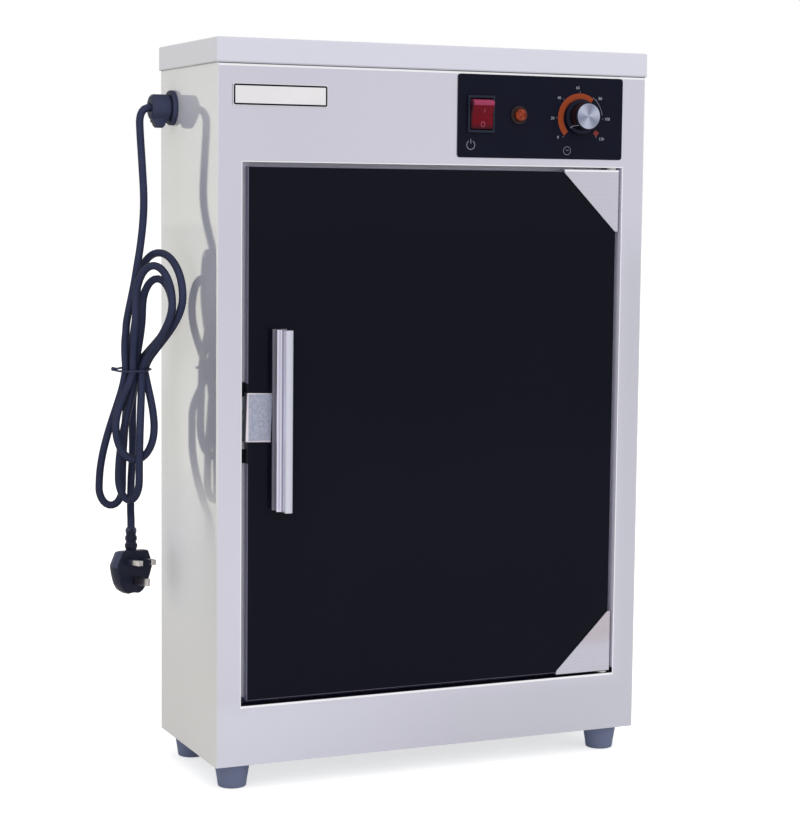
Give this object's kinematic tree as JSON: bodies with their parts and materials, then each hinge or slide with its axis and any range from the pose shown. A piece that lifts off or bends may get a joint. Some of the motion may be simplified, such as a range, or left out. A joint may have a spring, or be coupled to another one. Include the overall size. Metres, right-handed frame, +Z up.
{
  "type": "knife sterilizer",
  "caption": "Upright steel ultraviolet knife sterilizer with a hinged dark glass door, a control panel with switch, lamp and timer, rubber feet and a mains lead tied in a hank.",
  "frame": {"origin": "centre of the object's bounding box without its mains lead, at the underside of the feet", "axes": "+Z up, +X to the right along the front, +Y from the front to the back"},
  "size_m": [0.4618, 0.1738, 0.628],
  "materials": {
    "steel": "satin",
    "chamber_steel": "bright",
    "zinc": "zinc plated",
    "aluminium": "spun",
    "dark_glass": "polished, dark tinted",
    "lamp_glass": "clear",
    "panel_black": "satin",
    "black_plastic": "satin",
    "red_plastic": "gloss",
    "amber_plastic": "translucent",
    "nylon": "natural",
    "rubber": "matt",
    "cord": "satin",
    "brass": "bright"
  },
  "bodies": {
    "cabinet": {"outer_shell": "steel", "top_cover": "steel", "base_pan": "zinc", "back_panel": "zinc", "inner_liner": "chamber_steel", "name_plate": "steel", "foot_front_left": "rubber", "foot_front_right": "rubber", "foot_back_left": "rubber", "foot_back_right": "rubber", "foot_screw_front_left": "zinc", "foot_screw_front_right": "zinc", "foot_screw_back_left": "zinc", "foot_screw_back_right": "zinc", "knife_rack": "chamber_steel", "rack_ledge_left": "chamber_steel", "rack_ledge_right": "chamber_steel", "uv_tube": "lamp_glass", "lamp_holder_left": "black_plastic", "lamp_holder_right": "black_plastic", "heating_element": "zinc", "heater_guard": "chamber_steel", "thermostat": "black_plastic", "ballast": "zinc", "terminal_block": "nylon", "catch_body": "black_plastic", "catch_poles": "zinc", "pivot_bush_top": "nylon", "pivot_bush_bottom": "nylon", "control_panel": "panel_black", "switch_housing": "black_plastic", "lamp_bezel": "aluminium", "lamp_lens": "amber_plastic", "timer_body": "black_plastic", "gland_body": "black_plastic", "gland_nut": "black_plastic", "gland_lock_nut": "black_plastic", "cord_lead": "cord", "cord_hank": "cord", "cord_tail": "cord", "cord_tie": "black_plastic", "plug_body": "cord", "plug_pin_line": "brass", "plug_pin_neutral": "brass", "plug_pin_earth": "brass"},
    "door": {"door_glass": "dark_glass", "strike_clip": "steel", "handle": "steel", "handle_screw_lower": "steel", "handle_screw_upper": "steel", "hinge_shoe_top": "steel", "hinge_shoe_bottom": "steel", "pivot_pin_top": "steel", "pivot_pin_bottom": "steel"},
    "rocker": {"switch_rocker": "red_plastic"},
    "timer": {"timer_shaft": "steel", "timer_knob": "black_plastic", "timer_knob_cap": "aluminium"}
  },
  "joints": [
    {"name": "door_hinge", "type": "hinge", "parent": "cabinet", "child": "door", "pos_m": [0.1702, -0.06045, 0.3], "axis": [0, 0, 1], "range_deg": [0, 105]},
    {"name": "rocker_pivot", "type": "hinge", "parent": "cabinet", "child": "rocker", "pos_m": [0.039, -0.06595, 0.5711], "axis": [-1, 0, 0], "range_deg": [0, 20]},
    {"name": "timer_turn", "type": "hinge", "parent": "cabinet", "child": "timer", "pos_m": [0.1335, -0.06665, 0.5711], "axis": [0, 1, 0], "range_deg": [0, 270]}
  ]
}
